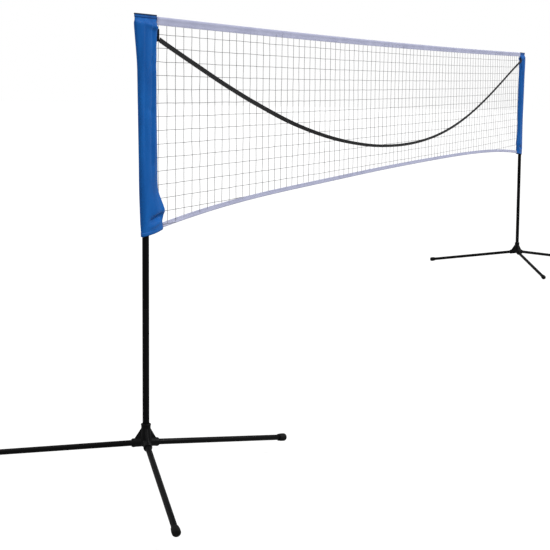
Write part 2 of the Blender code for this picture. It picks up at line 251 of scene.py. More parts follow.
def smooth_route(points, step):
    """Evenly spread points on a Catmull-Rom curve through the given ones, and its length."""
    knots = [Vector(p) for p in points]
    knots = [2 * knots[0] - knots[1]] + knots + [2 * knots[-1] - knots[-2]]
    fine = []
    for a, b, c, d in zip(knots, knots[1:], knots[2:], knots[3:]):
        for k in range(CURVE_STEPS):
            t = k / CURVE_STEPS
            bend = (2 * a - 5 * b + 4 * c - d) * t**2 + (3 * b - a - 3 * c + d) * t**3
            fine.append(0.5 * (2 * b + (c - a) * t + bend))
    fine.append(knots[-2])
    length = path_lengths(fine)[-1]
    count = max(2, round(length / step) + 1)
    goals = [length * k / (count - 1) for k in range(count)]
    spread = [fine[k].lerp(fine[k + 1], min(1.0, share)) for k, share in find_along(fine, goals)]
    return spread, length


def ease(x, low, high):
    """Smooth step from 0 at low to 1 at high."""
    t = min(1.0, max(0.0, (x - low) / (high - low)))
    return t * t * (3 - 2 * t)


# Materials


class Surface:
    """A principled material, with short names for the nodes that feed it."""

    def __init__(self, name, colour, roughness, **sockets):
        self.material = bpy.data.materials.new(name)
        self.material.use_nodes = True
        self.tree = self.material.node_tree
        self.shader = self.tree.nodes["Principled BSDF"]
        self.set(self.shader, {"Base Color": (*colour, 1), "Roughness": roughness})
        self.set(self.shader, {key.replace("_", " "): value for key, value in sockets.items()})

    def set(self, node, values):
        for key, value in values.items():
            if isinstance(value, bpy.types.NodeSocket):
                self.tree.links.new(value, node.inputs[key])
            else:
                node.inputs[key].default_value = value

    def node(self, kind, values=None, **settings):
        made = self.tree.nodes.new(f"ShaderNode{kind}")
        for key, value in settings.items():
            setattr(made, key, value)
        self.set(made, values or {})
        return made

    def math(self, operation, a, b=0.0):
        return self.node("Math", {0: a, 1: b}, operation=operation).outputs[0]

    def place(self, stretch=(1, 1, 1), cloth=False):
        """Object coordinates in metres, or the cloth's own, stretched."""
        if cloth:
            source = self.node("UVMap", uv_map="weave").outputs[0]
        else:
            source = self.node("TexCoord").outputs["Object"]
        return self.node("Mapping", {"Vector": source, "Scale": stretch}).outputs[0]

    def noise(self, where, scale, detail=2.0, distortion=0.0):
        values = {"Vector": where, "Scale": scale, "Detail": detail, "Distortion": distortion}
        return self.node("TexNoise", values).outputs[0]

    def span(self, value, low, high, start=0.3, end=0.7):
        """Maps a pattern's values from start..end to low..high."""
        values = {"Value": value, "From Min": start, "From Max": end, "To Min": low, "To Max": high}
        return self.node("MapRange", values).outputs[0]

    def blend(self, share, first, second):
        """Mixes two colours."""
        pair = [c if isinstance(c, bpy.types.NodeSocket) else (*c, 1) for c in (first, second)]
        values = {0: share, 6: pair[0], 7: pair[1]}  # the node's sockets for colours
        return self.node("Mix", values, data_type="RGBA").outputs[2]

    def bump(self, height, distance, strength=1.0, under=None):
        values = {"Height": height, "Distance": distance, "Strength": strength}
        if under:
            values["Normal"] = under
        return self.node("Bump", values).outputs[0]

    def wave(self, value, pitch):
        return self.math("SINE", self.math("MULTIPLY", value, TAU / pitch))

    def weave(self, where, across, along):
        """Height of a plain weave with these thread pitches."""
        split = self.node("SeparateXYZ", {0: where})
        weft = self.wave(split.outputs[1], along)
        return self.math("MULTIPLY", self.wave(split.outputs[0], across), weft)

    def finish(self, colour, roughness, normal):
        self.set(self.shader, {"Base Color": colour, "Roughness": roughness, "Normal": normal})
        return self.material


def powder_coat():
    """Black powder coat on steel tube: orange peel, and a few pale rubbed streaks."""
    s = Surface("powder_coat", (0.004, 0.004, 0.0045), 0.42, Specular_IOR_Level=0.06)
    where = s.place()
    cloud = s.noise(where, 14, 4)
    peel = s.noise(where, 900, 2)
    rubs = s.span(s.noise(s.place((1, 1, 0.12)), 260, 3, 0.4), 0, 1, 0.66, 0.8)
    worn = s.math("MULTIPLY", rubs, s.span(s.noise(where, 7, 2), 0, 1, 0.5, 0.66))
    colour = s.blend(cloud, (0.0018, 0.0018, 0.002), (0.004, 0.004, 0.0043))
    colour = s.blend(worn, colour, (0.022, 0.022, 0.023))
    roughness = s.math("ADD", s.span(cloud, 0.36, 0.5), s.math("MULTIPLY", worn, 0.2))
    return s.finish(colour, roughness, s.bump(peel, 0.00012, 0.5))


def moulded_plastic():
    """Black nylon moulding with a fine spark-eroded grain."""
    s = Surface("moulded_plastic", (0.004, 0.004, 0.0045), 0.42, Specular_IOR_Level=0.08)
    where = s.place()
    cloud = s.noise(where, 30, 3)
    grain = s.node("TexVoronoi", {"Vector": where, "Scale": 1400.0}).outputs[0]
    scuff = s.span(s.noise(where, 90, 5, 0.6), 0, 1, 0.62, 0.8)
    colour = s.blend(cloud, (0.002, 0.002, 0.0022), (0.0045, 0.0045, 0.0048))
    colour = s.blend(scuff, colour, (0.015, 0.015, 0.016))
    return s.finish(colour, s.span(cloud, 0.36, 0.5), s.bump(grain, 0.0001, 0.5))


def rubber():
    """Soft black rubber with a dusty bloom."""
    s = Surface("foot_rubber", (0.006, 0.006, 0.006), 0.72, Specular_IOR_Level=0.12)
    where = s.place()
    bloom = s.noise(where, 60, 5, 0.3)
    colour = s.blend(s.span(bloom, 0, 1, 0.45, 0.75), (0.004, 0.004, 0.004), (0.014, 0.0135, 0.013))
    return s.finish(colour, s.span(bloom, 0.62, 0.85), s.bump(s.noise(where, 700, 3), 0.00015, 0.5))


def nylon(name, deep, bright):
    """Satin nylon cloth: a fine plain weave and soft dye variation."""
    s = Surface(name, bright, 0.46, Specular_IOR_Level=0.12)
    cloth = s.place(cloth=True)
    where = s.place((1, 1, 0.35))
    dye = s.noise(where, 22, 4)
    thread = s.weave(cloth, 0.0009, 0.0009)
    slub = s.noise(s.place((60, 2200, 1), cloth=True), 1.0, 2)
    colour = s.blend(s.span(dye, 0, 1, 0.25, 0.75), deep, bright)
    colour = s.blend(s.span(thread, 0.0, 0.22, -1, 1), colour, deep)
    height = s.math("ADD", thread, s.math("MULTIPLY", slub, 0.8))
    soft = s.bump(s.noise(where, 55, 4), 0.0012, 0.25)
    rough = s.span(s.noise(where, 40, 3), 0.4, 0.54)
    return s.finish(colour, rough, s.bump(height, 0.00008, 0.6, soft))


def tape_cloth():
    """Pale woven polyester binding with a faint herringbone and a little dust."""
    s = Surface("tape_cloth", (0.435, 0.45, 0.6), 0.8, Sheen_Weight=0.03, Specular_IOR_Level=0.12)
    cloth = s.place(cloth=True)
    split = s.node("SeparateXYZ", {0: cloth})
    zigzag = s.math("PINGPONG", split.outputs[0], 0.0035)
    rib = s.wave(s.math("ADD", zigzag, split.outputs[1]), 0.0016)
    thread = s.weave(cloth, 0.0007, 0.0005)
    dust = s.noise(s.place(), 9, 5, 0.4)
    colour = s.blend(s.span(dust, 0, 1, 0.35, 0.75), (0.394, 0.408, 0.558), (0.476, 0.49, 0.64))
    colour = s.blend(s.span(rib, 0.0, 0.16, -1, 1), colour, (0.3, 0.31, 0.435))
    height = s.math("ADD", rib, s.math("MULTIPLY", thread, 0.5))
    return s.finish(colour, s.span(dust, 0.74, 0.88), s.bump(height, 0.00014, 0.7))


def net_cord():
    """Twisted twine, matt, a little uneven in tone."""
    s = Surface("net_twine", (0.11, 0.11, 0.12), 0.85, Specular_IOR_Level=0.2, Sheen_Weight=0.1)
    cloth = s.place(cloth=True)
    split = s.node("SeparateXYZ", {0: cloth})
    twist = s.math("ADD", s.math("MULTIPLY", split.outputs[0], 0.9), split.outputs[1])
    strand = s.wave(twist, 0.0013)
    tone = s.noise(s.place(), 40, 4)
    colour = s.blend(s.span(tone, 0, 1), (0.075, 0.075, 0.08), (0.15, 0.15, 0.16))
    colour = s.blend(s.span(strand, 0, 0.4, -1, 1), colour, (0.045, 0.045, 0.05))
    return s.finish(colour, s.span(tone, 0.78, 0.92), s.bump(strand, 0.0002, 0.8))


def webbing():
    """Black polypropylene webbing: ribs along it, crossed by a tight weft."""
    black = (0.006, 0.006, 0.007)
    s = Surface("strap_webbing", black, 0.6, Sheen_Weight=0.02, Specular_IOR_Level=0.14)
    cloth = s.place(cloth=True)
    rib = s.weave(cloth, 0.0024, 0.0018)
    fuzz = s.noise(s.place((1800, 500, 1), cloth=True), 1.0, 3)
    tone = s.noise(s.place(), 25, 4)
    colour = s.blend(s.span(tone, 0, 1), (0.005, 0.005, 0.006), (0.011, 0.011, 0.012))
    colour = s.blend(s.span(rib, 0, 0.55, -1, 1), colour, (0.019, 0.019, 0.021))
    height = s.math("ADD", rib, s.math("MULTIPLY", fuzz, 0.5))
    return s.finish(colour, s.span(tone, 0.52, 0.72), s.bump(height, 0.0003, 0.8))


def thread(name, colour):
    """Sewing thread with a twisted lay."""
    s = Surface(name, colour, 0.6, Sheen_Weight=0.2)
    lay = s.noise(s.place(), 1600, 2)
    dark = tuple(0.6 * c for c in colour)
    return s.finish(s.blend(s.span(lay, 0, 1), dark, colour), 0.6, s.bump(lay, 0.0001, 0.6))


def bare_steel():
    """Drawn steel with fine lines along it, for the hidden ferrules."""
    s = Surface("ferrule_steel", (0.5, 0.5, 0.51), 0.35, Metallic=1.0)
    lines = s.noise(s.place((1, 1, 0.02)), 1500, 3)
    colour = s.blend(s.span(lines, 0, 1), (0.42, 0.42, 0.43), (0.58, 0.58, 0.59))
    return s.finish(colour, s.span(lines, 0.28, 0.46), s.bump(lines, 0.00005, 0.4))


PAINT = powder_coat()
PLASTIC = moulded_plastic()
RUBBER = rubber()
SLEEVE_BLUE = nylon("sleeve_nylon", (0.003, 0.074, 0.295), (0.006, 0.116, 0.42))
# Dark blue that paints the shade along each sleeve's closed top edge, laid on a thin strip of cloth
# there
TOP_SHADE_BLUE = nylon("top_shade_nylon", (0.006, 0.03, 0.075), (0.01, 0.042, 0.11))
TAPE = tape_cloth()
TWINE = net_cord()
WEBBING = webbing()
STEEL = bare_steel()
BLUE_THREAD = thread("blue_thread", (0.01, 0.07, 0.26))
PALE_THREAD = thread("pale_thread", (0.42, 0.43, 0.54))
BLACK_THREAD = thread("black_thread", (0.02, 0.02, 0.022))

# The camera, at the photograph's viewing angle

CAMERA_PLACE = Vector((-3.9485, -2.1131, 1.3363))  # from the left post's foot
CAMERA_YAW = 1.176  # from +Y towards +X
CAMERA_DIP = 0.1072
CAMERA_ROLL = 0.0085
FOCAL_PIXELS = 1343.6
RAISE_PIXELS = 50  # how far the picture's frame sits below the lens axis
PICTURE_WIDTH = 550
SENSOR = 36.0


def add_camera():
    data = bpy.data.cameras.new("camera")
    data.sensor_width = SENSOR
    data.lens = FOCAL_PIXELS / PICTURE_WIDTH * SENSOR
    data.shift_y = -RAISE_PIXELS / PICTURE_WIDTH
    data.clip_end = 200
    camera = link("camera", data)
    facing = Vector((math.sin(CAMERA_YAW), math.cos(CAMERA_YAW), 0))
    ahead = facing * math.cos(CAMERA_DIP) - UP * math.sin(CAMERA_DIP)
    level = Vector((facing.y, -facing.x, 0))
    rise = level.cross(ahead)
    across = math.cos(CAMERA_ROLL) * level + math.sin(CAMERA_ROLL) * rise
    up = math.cos(CAMERA_ROLL) * rise - math.sin(CAMERA_ROLL) * level
    turn = Matrix((across, up, -ahead)).transposed()
    camera.matrix_world = Matrix.Translation(ORIGIN + CAMERA_PLACE) @ turn.to_4x4()
    bpy.context.scene.camera = camera


add_camera()

# The slack strap between the posts

STRAP_WIDTH = 0.0176
STRAP_THICKNESS = 0.0018
SELVEDGE = 0.0011  # half thickness at the strap's two edges
STRAP_STEP = 0.008
STRAP_ROUTE = (
    (0.089, -0.0105, 1.4655), (0.18, -0.0112, 1.4382), (0.35, -0.0123, 1.3892),
    (0.6, -0.0138, 1.3184), (0.9, -0.0153, 1.2415), (1.3, -0.017, 1.1525),
    (1.75, -0.0185, 1.0793), (2.2, -0.0195, 1.0318), (2.6, -0.0199, 1.0107),
    (3.0000, -0.02, 1.0097), (3.4, -0.0196, 1.03), (3.8, -0.0188, 1.074),
    (4.2, -0.0177, 1.1415), (4.6, -0.0163, 1.2288), (5.0000, -0.0144, 1.3285),
    (5.35, -0.0124, 1.4198), (5.6315, -0.0105, 1.488),
)
STRAP_OVERLAP = 0.0076  # how far each end runs on over its tab
# How far the strap is turned from upright, in degrees, at shares of its length
STRAP_TWIST = (
    (0.0, 4), (0.15, 10), (0.23, 37), (0.42, 40), (0.52, 25), (0.7, 9), (0.9, 5), (1.0, 2),
)


def between(stops, x):
    """Smoothly interpolates (place, value) stops."""
    for (x0, y0), (x1, y1) in zip(stops, stops[1:]):
        if x <= x1:
            return y0 + (y1 - y0) * ease(x, x0, x1)
    return stops[-1][1]


def ribbon_section():
    """Outline of the strap: flat, with a thicker rounded selvedge at each side."""
    half, points = STRAP_WIDTH / 2, []
    for k in range(5):
        turn = math.pi * (k / 4 - 0.5)
        points.append((half - SELVEDGE + SELVEDGE * math.cos(turn), SELVEDGE * math.sin(turn)))
    for share in (0.72, 0.36, 0.0, -0.36, -0.72):
        points.append((share * half, STRAP_THICKNESS / 2))
    return points + [(-x, -y) for x, y in points]


def add_strap():
    route = [Vector(p) for p in STRAP_ROUTE]
    start = route[0] + (route[0] - route[1]).normalized() * STRAP_OVERLAP
    end = route[-1] + (route[-1] - route[-2]).normalized() * STRAP_OVERLAP
    centres, length = smooth_route([start, *route, end], STRAP_STEP)
    centres = [ORIGIN + p for p in centres]
    section = ribbon_section()
    rings = []
    for k, (centre, ahead) in enumerate(zip(centres, headings(centres))):
        upright = Vector((0, 1, 0)).cross(ahead).normalized()
        side = ahead.cross(upright).normalized()
        twist = math.radians(between(STRAP_TWIST, k / (len(centres) - 1)))
        wide = math.cos(twist) * upright + math.sin(twist) * side
        thin = math.cos(twist) * side - math.sin(twist) * upright
        rings.append([centre + wide * x + thin * y for x, y in section])
    strap = add_loft("slack_strap", rings, WEBBING, "strap_webbing", "hanging_strap", 60)
    return centres


strap_line = add_strap()

# Posts, legs and feet

TUBE_SIDES = 48
WALL = 0.001
ROLL = 0.0005  # rounding of a cut tube's rim
FIT = 0.0003  # play between a tube and what it sits in
PLUG_HEAD = 0.0057  # height of a post plug's head
FOOT_LIP = 0.0028  # how far a foot's lip stands out from its bore
FOOT_WAIST = 0.0023
FOOT_DOME = 0.0075


def tube_profile(low, high, radius):
    inside = radius - WALL
    bevel, shoulder = ROLL * 0.4, ROLL * 0.3
    return [
        (inside, low + bevel), (inside + bevel, low), (radius - ROLL, low),
        (radius - shoulder, low + shoulder), (radius, low + ROLL),
        (radius, low + (high - low) * 0.33), (radius, low + (high - low) * 0.67),
        (radius, high - ROLL), (radius - shoulder, high - shoulder),
        (radius - ROLL, high), (inside + bevel, high), (inside, high - bevel),
    ]


def turn_piece(name, profile, origin, axis, surface, body, node, slot, crease=None):
    """A piece turned from a closed profile, which stands for one CAD node."""
    form = lathe(profile, TUBE_SIDES, aim(origin, axis))
    return add_piece(name, *form, surface, slot, (node,), crease=crease, body=body)


def add_tube(node, origin, axis, body):
    profile = tube_profile(*extent(node, origin, axis))
    turn_piece(f"{node}_skin", profile, origin, axis, PAINT, body, node, "powder_coated_tube", 50)


def add_post_cap(side):
    """A ribbed plug with a rounded head."""
    node = f"{side}_post_cap"
    origin = POST[side]
    low, high, radius = extent(node, origin, UP)
    plug = radius - WALL - FIT
    rim = high - PLUG_HEAD
    edge = rim + 0.0012
    profile = [(0, low), (plug - 0.001, low), (plug, low + 0.001)]
    for k in range(3):  # sealing ribs
        z = low + 0.004 + 0.004 * k
        profile += [(plug - 0.0004, z - 0.0008), (plug, z), (plug - 0.0004, z + 0.0008)]
    profile += [(plug, rim - 0.0006), (radius - 0.0004, rim), (radius, rim + 0.0006)]
    for across, up in quarter_turn(8)[1:-1]:
        profile.append((radius * across, edge + (high - edge) * up))
    profile.append((0, high))
    turn_piece(f"{side}_post_plug", profile, origin, UP, PLASTIC, ROOT, node, "hub_plastic", 50)


def cut_at_floor(piece):
    """Cuts a piece off where it meets the ground, and closes the cut."""
    shape = bmesh.new()
    shape.from_mesh(piece.data)
    cut = bmesh.ops.bisect_plane(
        shape,
        geom=shape.verts[:] + shape.edges[:] + shape.faces[:],
        plane_co=(0, 0, 0),
        plane_no=(0, 0, -1),
        clear_outer=True,
    )
    rim = [e for e in cut["geom_cut"] if isinstance(e, bmesh.types.BMEdge)]
    bmesh.ops.edgeloop_fill(shape, edges=rim)
    shape.to_mesh(piece.data)
    shape.free()
    outward(piece)


def add_foot(side, k):
    """A barrel-shaped cap with a rolled lip and a domed end, worn flat where it stands."""
    leg = f"{side}_leg_{k}"
    node = f"{leg}_foot"
    origin, axis = HUB_CENTRE[side], LEGS[side, k]
    low, high, wide = extent(node, origin, axis)
    _, tube_end, tube_radius = extent(f"{leg}_tube", origin, axis)
    bore = tube_radius + 0.0002
    waist = bore + FOOT_WAIST
    profile = [
        (0, tube_end + FIT), (bore - 0.0005, tube_end + FIT), (bore, tube_end - FIT),
        (bore, low + 0.0008), (bore + 0.0006, low), (bore + 0.0022, low),
        (bore + FOOT_LIP, low + 0.0007), (bore + FOOT_LIP, low + 0.0022),
        (bore + 0.0021, low + 0.003), (waist, low + 0.004),
    ]
    for j in range(1, 9):
        share = j / 8
        radius = waist + (wide - waist) * math.sin(share * math.pi / 2)
        profile.append((radius, low + 0.004 + share * 0.01))
    flat, shoulder = wide - FOOT_DOME, high - FOOT_DOME
    profile.append((wide, shoulder - 0.003))
    for across, along in quarter_turn(10):
        profile.append((flat + FOOT_DOME * across, shoulder + FOOT_DOME * along))
    profile += [(flat * 0.6, high), (flat * 0.55, high - 0.0004), (0, high - 0.0004)]
    piece = turn_piece(f"{node}_cap", profile, origin, axis, RUBBER, leg, node, "foot_rubber")
    cut_at_floor(piece)
    piece.data.set_sharp_from_angle(angle=math.radians(45))


# The tripod hubs

HUB_VOXEL = 0.0009
HUB_SOFTEN = 5  # smoothing passes that round the moulding's inner corners
HUB_FLOOR = -0.0135  # heights from the point where the legs' axes meet
HUB_TOP = 0.064
HUB_NECK = 0.0161
SOCKET_MOUTH = 0.052
WEB_OUTLINE = (
    (0.006, 0.002), (0.046, -0.004), (0.046, 0.007),
    (0.0405, 0.0105), (0.0165, 0.0475), (0.006, 0.0475),
)
WEB_SECTION = ((-0.005, 0.0008), (-0.0036, 0), (0.0036, 0), (0.005, 0.0008))  # side and inset


def apply_modifiers(piece):
    """Bakes a piece's modifiers into its mesh."""
    graph = bpy.context.evaluated_depsgraph_get()
    baked = bpy.data.meshes.new_from_object(piece.evaluated_get(graph))
    piece.modifiers.clear()
    old = piece.data
    piece.data = baked
    bpy.data.meshes.remove(old)


def merge(target, tool, operation):
    step = target.modifiers.new("join", "BOOLEAN")
    step.operation = operation
    step.object = outward(tool)
    step.solver = "EXACT"
    apply_modifiers(target)
    bpy.data.objects.remove(tool)


def hub_form(turns, lean):
    """One moulding about the point where the legs' axes meet, for legs at these turns."""
    body = [
        (0, HUB_FLOOR), (0.015, HUB_FLOOR), (0.0175, HUB_FLOOR + 0.001),
        (0.0185, HUB_FLOOR + 0.0035), (0.0186, 0.01), (0.0178, 0.024),
        (HUB_NECK, 0.04), (HUB_NECK, HUB_TOP - 0.007),
        (HUB_NECK + 0.0011, HUB_TOP - 0.0058), (HUB_NECK + 0.0011, HUB_TOP - 0.001),
        (HUB_NECK + 0.0001, HUB_TOP), (0, HUB_TOP),
    ]
    hub = outward(mesh_object("hub_form", *lathe(body, 72, Matrix.Identity(4))))
    socket = [
        (0, 0.004), (0.0144, 0.004), (0.0144, SOCKET_MOUTH - 0.0095),
        (0.0152, SOCKET_MOUTH - 0.008), (0.0152, SOCKET_MOUTH - 0.003),
        (0.0129, SOCKET_MOUTH), (0, SOCKET_MOUTH),
    ]
    for turn in turns:
        place = Matrix.Rotation(turn, 4, "Z")
        axis = place @ Matrix.Rotation(lean, 4, "Y")
        merge(hub, mesh_object("socket", *lathe(socket, 60, axis)), "UNION")
        rings = []
        for y, inset in WEB_SECTION:
            rings.append([place @ Vector((x - inset, y, z - inset)) for x, z in WEB_OUTLINE])
        verts, faces, _ = loft(rings)
        merge(hub, mesh_object("web", verts, faces), "UNION")
    grain = hub.modifiers.new("voxels", "REMESH")
    grain.mode = "VOXEL"
    grain.voxel_size = HUB_VOXEL
    soften = hub.modifiers.new("soften", "CORRECTIVE_SMOOTH")
    soften.iterations = HUB_SOFTEN
    soften.use_only_smooth = True
    apply_modifiers(hub)
    return hub


def drill(hub, low, bore, flare, place):
    """Cuts a bore from low up to its mouth. flare is two (radius, height) points at the mouth."""
    (inner, start), (outer, end) = flare
    profile = [(0, low), (bore, low), (bore + inner, start), (bore + outer, end), (0, end)]
    merge(hub, mesh_object("bore", *lathe(profile, TUBE_SIDES, place)), "DIFFERENCE")


def add_hub(side):
    centre = HUB_CENTRE[side]
    legs = [LEGS[side, k] for k in (1, 2, 3)]
    turns = [math.atan2(leg.y, leg.x) for leg in legs]
    hub = hub_form(turns, math.pi / 2 + math.asin(-legs[0].z))
    for k, leg in enumerate(legs):
        flare = ((0, SOCKET_MOUTH - 0.0012), (0.0012, SOCKET_MOUTH + 0.001))
        start, _, radius = extent(f"{side}_leg_{k + 1}_tube", centre, leg)
        drill(hub, start - FIT, radius + FIT, flare, aim(Vector(), leg))
    flare = ((0, HUB_TOP - 0.0013), (0.0015, HUB_TOP + 0.002))
    start, _, radius = extent(f"{side}_lower_tube", POST[side], UP)
    drill(hub, start - centre.z - FIT, radius + FIT, flare, Matrix.Identity(4))
    hub.data.transform(Matrix.Translation(centre))
    hub.name = f"{side}_tripod_moulding"
    dress(hub, PLASTIC, (f"{side}_hub",), f"{side}_tripod_hub", 50)


for side in SIDES:
    for name, body in (("upper", ROOT), ("middle", ROOT), ("lower", f"{side}_lower_post")):
        add_tube(f"{side}_{name}_tube", POST[side], UP, body)
    add_post_cap(side)
    add_hub(side)
    for k in (1, 2, 3):
        add_tube(f"{side}_leg_{k}_tube", HUB_CENTRE[side], LEGS[side, k], f"{side}_leg_{k}")
        add_foot(side, k)
    for name in ("lower", "upper"):
        frame["nodes"][f"{side}_{name}_ferrule"].data.materials[0] = STEEL

# The two sleeves

SLEEVE_HALF_WIDTH = 0.057
SLEEVE_HALF_DEPTH = {"left": 0.018, "right": 0.0145}
TOP_SPREAD = 0.019  # extra half width at the seam that closes the top
FOOT_SPREAD = 0.015
SLEEVE_SET = 0.0032  # how far the cloth's middle is inwards from the post's axis at the top
SLEEVE_DRIFT = {"left": 0.0232, "right": 0.015}  # how much further it is at the foot
FOOT_DRIFT = {"left": 0.02, "right": 0.013}
FOOT_SHARE = 0.26  # the foot spreads below this share of the height
TOP_SHARE = 0.74
HEM_RISE = 0.016  # how much higher the hem is at the net than at the post
HEM_REACH = 0.13
SLEEVE_AROUND = 96
SLEEVE_ROWS = 170
HEM = 0.016
BAND = 0.017  # flat sewn band that closes the top
CLOTH = 0.0006
POST_CLEAR = 0.0127  # least distance of the cloth from the post's axis
SLACK = {"left": 1.0, "right": 0.6}  # how deep the gathers above each sleeve's foot are
CREASE = 0.871  # height of the gather above the foot, at the post
PULLS = ((0.062, 0.32, 0.0042), (0.074, 0.75, 0.003))  # place, slant and depth of creases
DENTS = ((1.395, 0.03, 0.0022), (1.235, 0.012, 0.0026), (1.06, 0.034, 0.002))


def gauss(x, centre, width):
    return math.exp(-(((x - centre) / width) ** 2))


def sleeve_middle(side, share):
    """How far a sleeve's middle is inwards from its post's axis."""
    foot = FOOT_DRIFT[side] * (1 - ease(share, 0, FOOT_SHARE))
    return SLEEVE_SET + SLEEVE_DRIFT[side] * (1 - share) + foot


def sleeve_half_width(share):
    foot = FOOT_SPREAD * (1 - ease(share, 0, FOOT_SHARE))
    return SLEEVE_HALF_WIDTH + foot + TOP_SPREAD * ease(share, TOP_SHARE, 1)


def sleeve_folds(side, x, z, front, below):
    """How far folds push the cloth out, at a place inwards from the post and a height."""
    slack = SLACK[side]
    fold = 0.004 * noise.noise(Vector((x * 16, front * 1.7 + 5 + POST[side].x, z * 2.6)))
    # Long soft folds hang from the closed top.
    valley = 0.014 + 0.01 * math.sin(z * 5.2 + 1.0)
    fold -= 0.005 * gauss(x, valley, 0.009) * ease(z, 0.98, 1.12)
    fold += 0.0024 * gauss(x, valley + 0.02, 0.01) * ease(z, 0.95, 1.1)
    fold -= 0.0028 * gauss(x, -0.026 + 0.012 * (1.5 - z), 0.008) * ease(z, 0.9, 1.2)
    # The strap's pull on its tab draws two creases down and outwards.
    for start, slant, depth in PULLS:
        line = x - start + slant * (1.47 - z)
        fold -= depth * gauss(line, 0, 0.006) * ease(z, 1.3, 1.42) * (1 - ease(z, 1.462, 1.49))
    # Soft dents lie across the middle.
    for height, place, depth in DENTS:
        fold -= depth * gauss(z + 0.25 * x, height, 0.014) * gauss(x, place, 0.026)
    # The net gathers the cloth above the foot's inner corner, and a pocket folds in below.
    above = z - (CREASE + 0.16 * (x - 0.03))
    reach = ease(x, -0.014, 0.04) * slack
    fold += 0.0098 * ease(above, 0.1, 0.01) * ease(above, -0.03, 0.01) * reach
    inside = reach * (1 - 0.75 * ease(x, 0.062, 0.094))
    fold -= 0.019 * gauss(above, -0.004, 0.012) * inside
    fold += 0.004 * gauss(above, -0.026, 0.009) * inside
    # Under the band, a crease runs down from the post's top towards the net.
    crease = below - 0.005 - 0.12 * (x + 0.01)
    reach = ease(x, -0.022, 0.002) * (1 - ease(x, 0.05, 0.07))
    fold -= 0.0065 * gauss(crease, 0.0, 0.0048) * reach
    fold += 0.006 * gauss(crease, 0.014, 0.008) * reach
    return fold


def sleeve_point(side, turn, share):
    """A point of the cloth, from the post's foot. turn is 0 at the net, share is 0 at the foot."""
    z = SLEEVE_LOW + (SLEEVE_TOP - SLEEVE_LOW) * share
    across = math.cos(turn)
    front = -math.sin(turn)  # 1 on the side that the strap hangs on
    below = SLEEVE_TOP - BAND - z
    shoulder = 0.12 + 0.88 * ease(below, -0.001, 0.016)
    seam = 1 - 0.75 * ease(across, 0.8, 0.99)
    foot = 1 - 0.25 * ease(SLEEVE_LOW + 0.05 - z, 0, 0.05) * ease(-across, 0.1, 1)
    x = sleeve_middle(side, share) + sleeve_half_width(share) * across
    y = -SLEEVE_HALF_DEPTH[side] * front * shoulder * seam * foot
    loose = ease(abs(front), 0.12, 0.7) * ease(below, -0.004, 0.03)
    lift = z - CREASE - 0.008
    gather = ease(lift, 0.092, 0.006) * ease(lift, -0.034, 0.006)
    gather *= ease(across, 0.45, 0.95) * SLACK[side]
    tuck = gauss(z, CREASE - 0.02, 0.016) * ease(across, 0.6, 1) * SLACK[side]
    y -= (1.0 if front > 0 else -0.7) * loose * sleeve_folds(side, x, z, front, below)
    y -= 0.007 * gather * ease(front, -0.3, 0.3)
    x += 0.005 * gather - 0.003 * tuck
    rise = HEM_RISE * (across + 1) / 2 * max(0.0, 1 - share / HEM_REACH)
    return Vector((INWARD[side] * x, y, z + rise))


def keep_off_post(p):
    """Holds a point of the cloth outside the post."""
    flat = Vector((p.x, p.y))
    if flat.length < POST_CLEAR and p.z < SLEEVE_TOP - BAND - 0.003:
        flat = flat.normalized() * POST_CLEAR if flat.length > 1e-6 else Vector((0, -POST_CLEAR))
        return Vector((flat.x, flat.y, p.z))
    return p


def sleeve_rows(side):
    """The sleeve's closed rings from foot to top, all running the same way round."""
    rings = []
    for i in range(SLEEVE_ROWS + 1):
        share = i / SLEEVE_ROWS
        ring = [sleeve_point(side, TAU * k / SLEEVE_AROUND, share) for k in range(SLEEVE_AROUND)]
        rings.append([POST[side] + keep_off_post(p) for p in ring][:: INWARD[side]])
    return rings


def normals_of(rings):
    """Outward normal of each point of stacked closed rings."""
    count = len(rings[0])
    out = []
    for below, ring, above in zip([rings[0], *rings], rings, [*rings[1:], rings[-1]]):
        centre = sum(ring, Vector()) / count
        row = []
        for k in range(count):
            normal = (ring[(k + 1) % count] - ring[k - 1]).cross(above[k] - below[k])
            if normal.length < 1e-12:
                normal = ring[k] - centre
            row.append(normal.normalized())
        out.append(row)
    return out


def add_shell(name, rings, normals, inner, outer, surface, replaced=()):
    """A tube of cloth with thickness, between two offsets of stacked closed rings."""
    stack = [[p + n * outer for p, n in zip(r, m)] for r, m in zip(rings, normals)]
    stack += [[p + n * inner for p, n in zip(r, m)] for r, m in zip(rings[::-1], normals[::-1])]
    verts, faces, uvs = loft([*stack, stack[0]], caps=False)
    last = len(stack) * len(rings[0])
    faces = [tuple(v % last for v in face) for face in faces]
    return add_piece(name, verts[:last], faces, surface, "sleeve_cloth", replaced, uvs)


STITCH_SIDES = 6
STITCH_RINGS = ((-0.5, 0.45), (-0.3, 1.0), (0.3, 1.0), (0.5, 0.45))  # place along it and size
STITCH_RADIUS = 0.00032


def stitches(name, lines, surface, slot, pitch=0.0036, length=0.0024):
    """Short threads laid along lines of (point, normal)."""
    verts, faces = [], []
    for line in lines:
        points = [p for p, _ in line]
        count = int(path_lengths(points)[-1] / pitch)
        for place, share in find_along(points, [(n + 0.5) * pitch for n in range(count)]):
            (a, na), (b, nb) = line[place], line[place + 1]
            ahead = (b - a).normalized()
            normal = na.lerp(nb, share).normalized()
            sideways = normal.cross(ahead).normalized()
            sunk = a.lerp(b, share) + normal * STITCH_RADIUS * 0.15
            rings = []
            for along, size in STITCH_RINGS:
                centre = sunk + ahead * along * length
                around = [normal * y + sideways * x for x, y in full_turn(STITCH_SIDES)]
                rings.append([centre + lift * STITCH_RADIUS * size for lift in around])
            join(verts, faces, *loft(rings)[:2])
    return add_piece(name, verts, faces, surface, slot)


